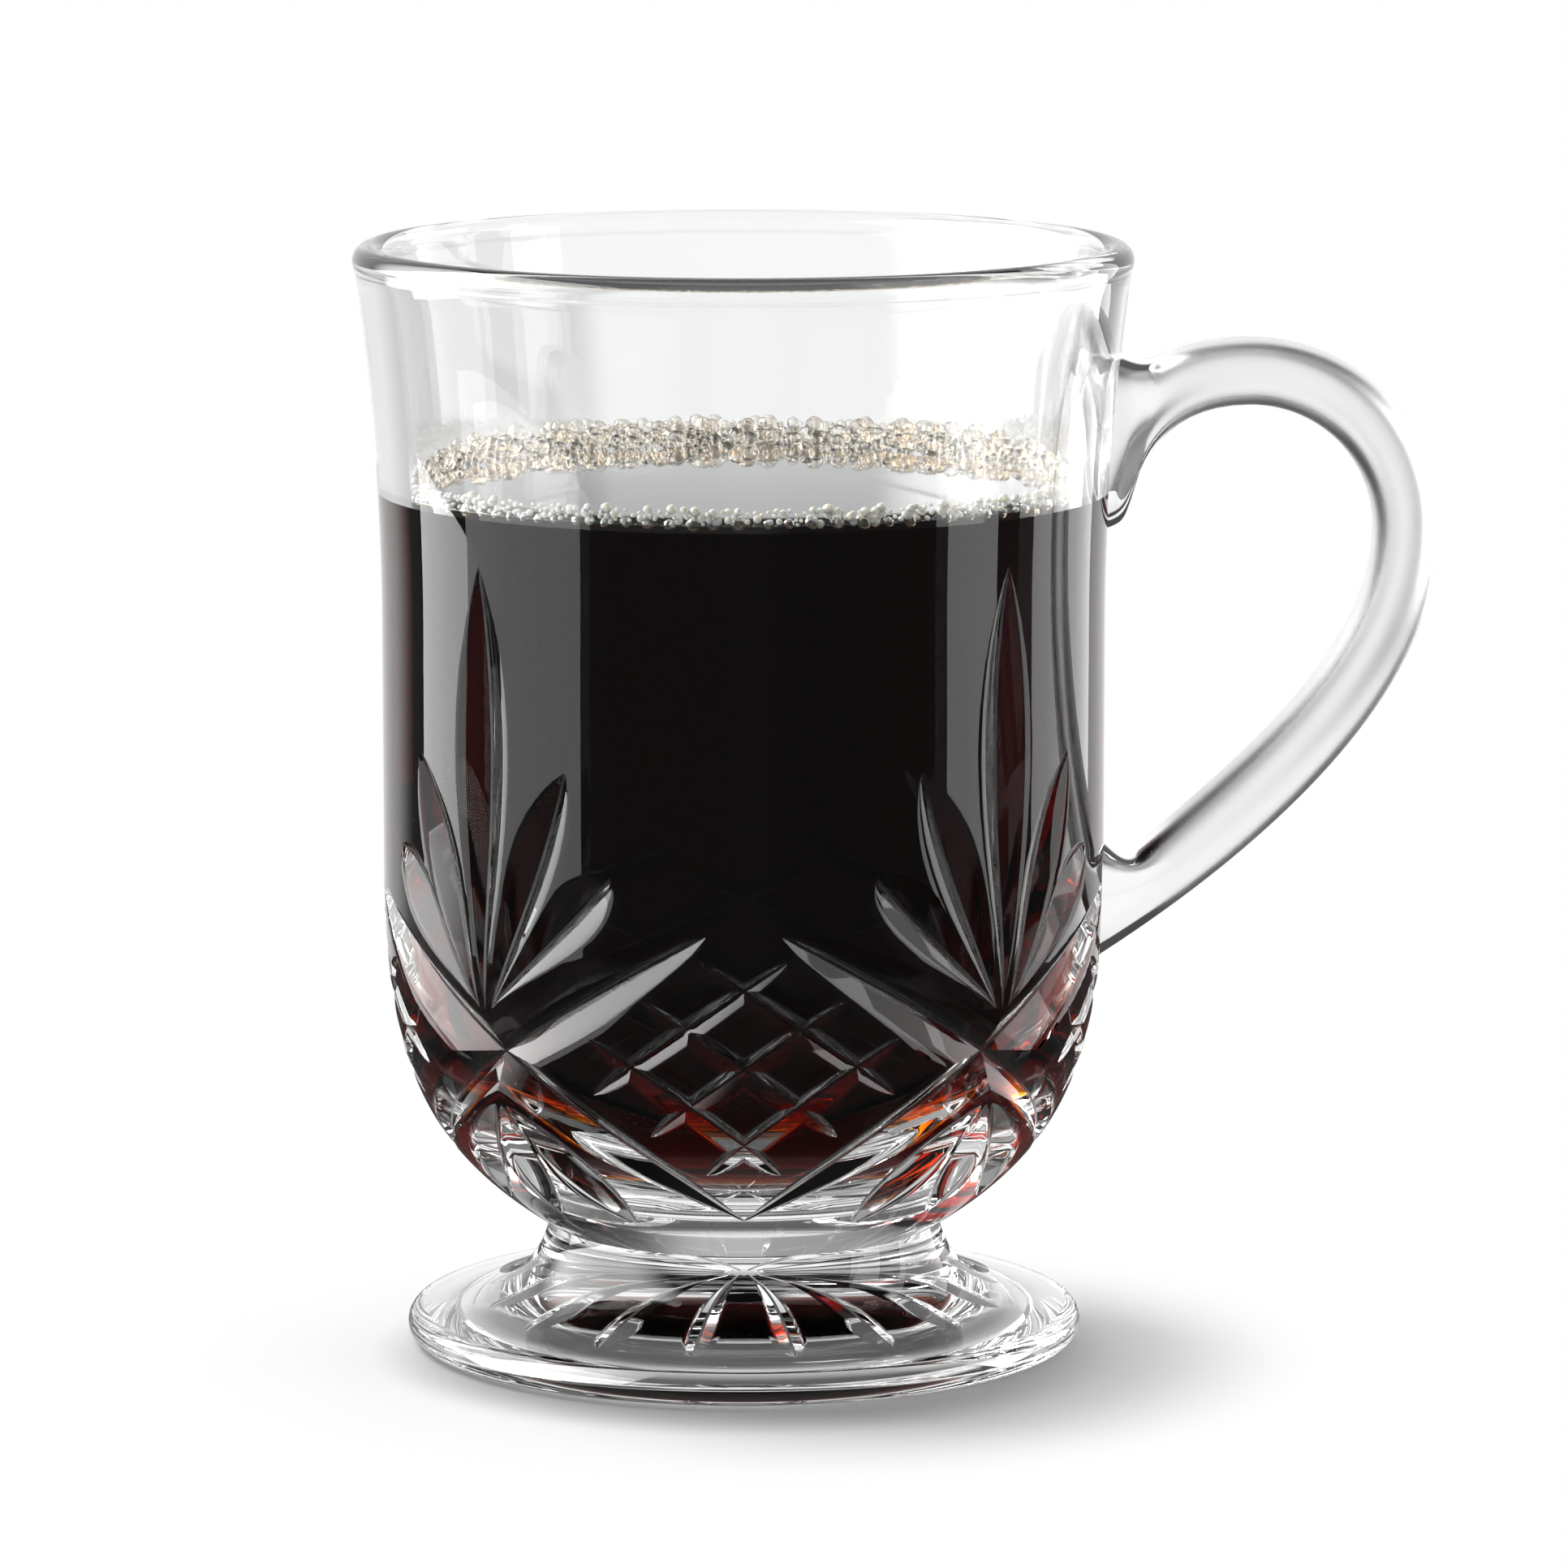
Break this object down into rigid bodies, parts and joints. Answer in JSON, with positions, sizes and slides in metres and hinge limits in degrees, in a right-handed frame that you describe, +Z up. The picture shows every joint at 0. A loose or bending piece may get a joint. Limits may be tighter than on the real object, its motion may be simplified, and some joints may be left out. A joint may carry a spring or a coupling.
{
  "type": "footed mug",
  "caption": "Footed clear glass mug with a looped handle and a cut leaf and diamond pattern round the bowl, filled with black coffee under a thin ring of froth.",
  "frame": {"origin": "centre of the foot's flat underside, on the bowl's axis, where the mug stands on the table", "axes": "+Z up along the bowl's axis, +X from the axis out through the handle, +Y to the back of the mug as pictured"},
  "size_m": [0.1115, 0.08, 0.114],
  "materials": {
    "glass": "clear fire-polished glass with wheel-cut facets",
    "coffee": "still black coffee, deep red-brown where thin",
    "froth": "small pale bubbles"
  },
  "bodies": {
    "root": {"bowl": "glass", "foot": "glass", "handle": "glass", "coffee": "coffee", "froth": "froth"}
  },
  "joints": []
}
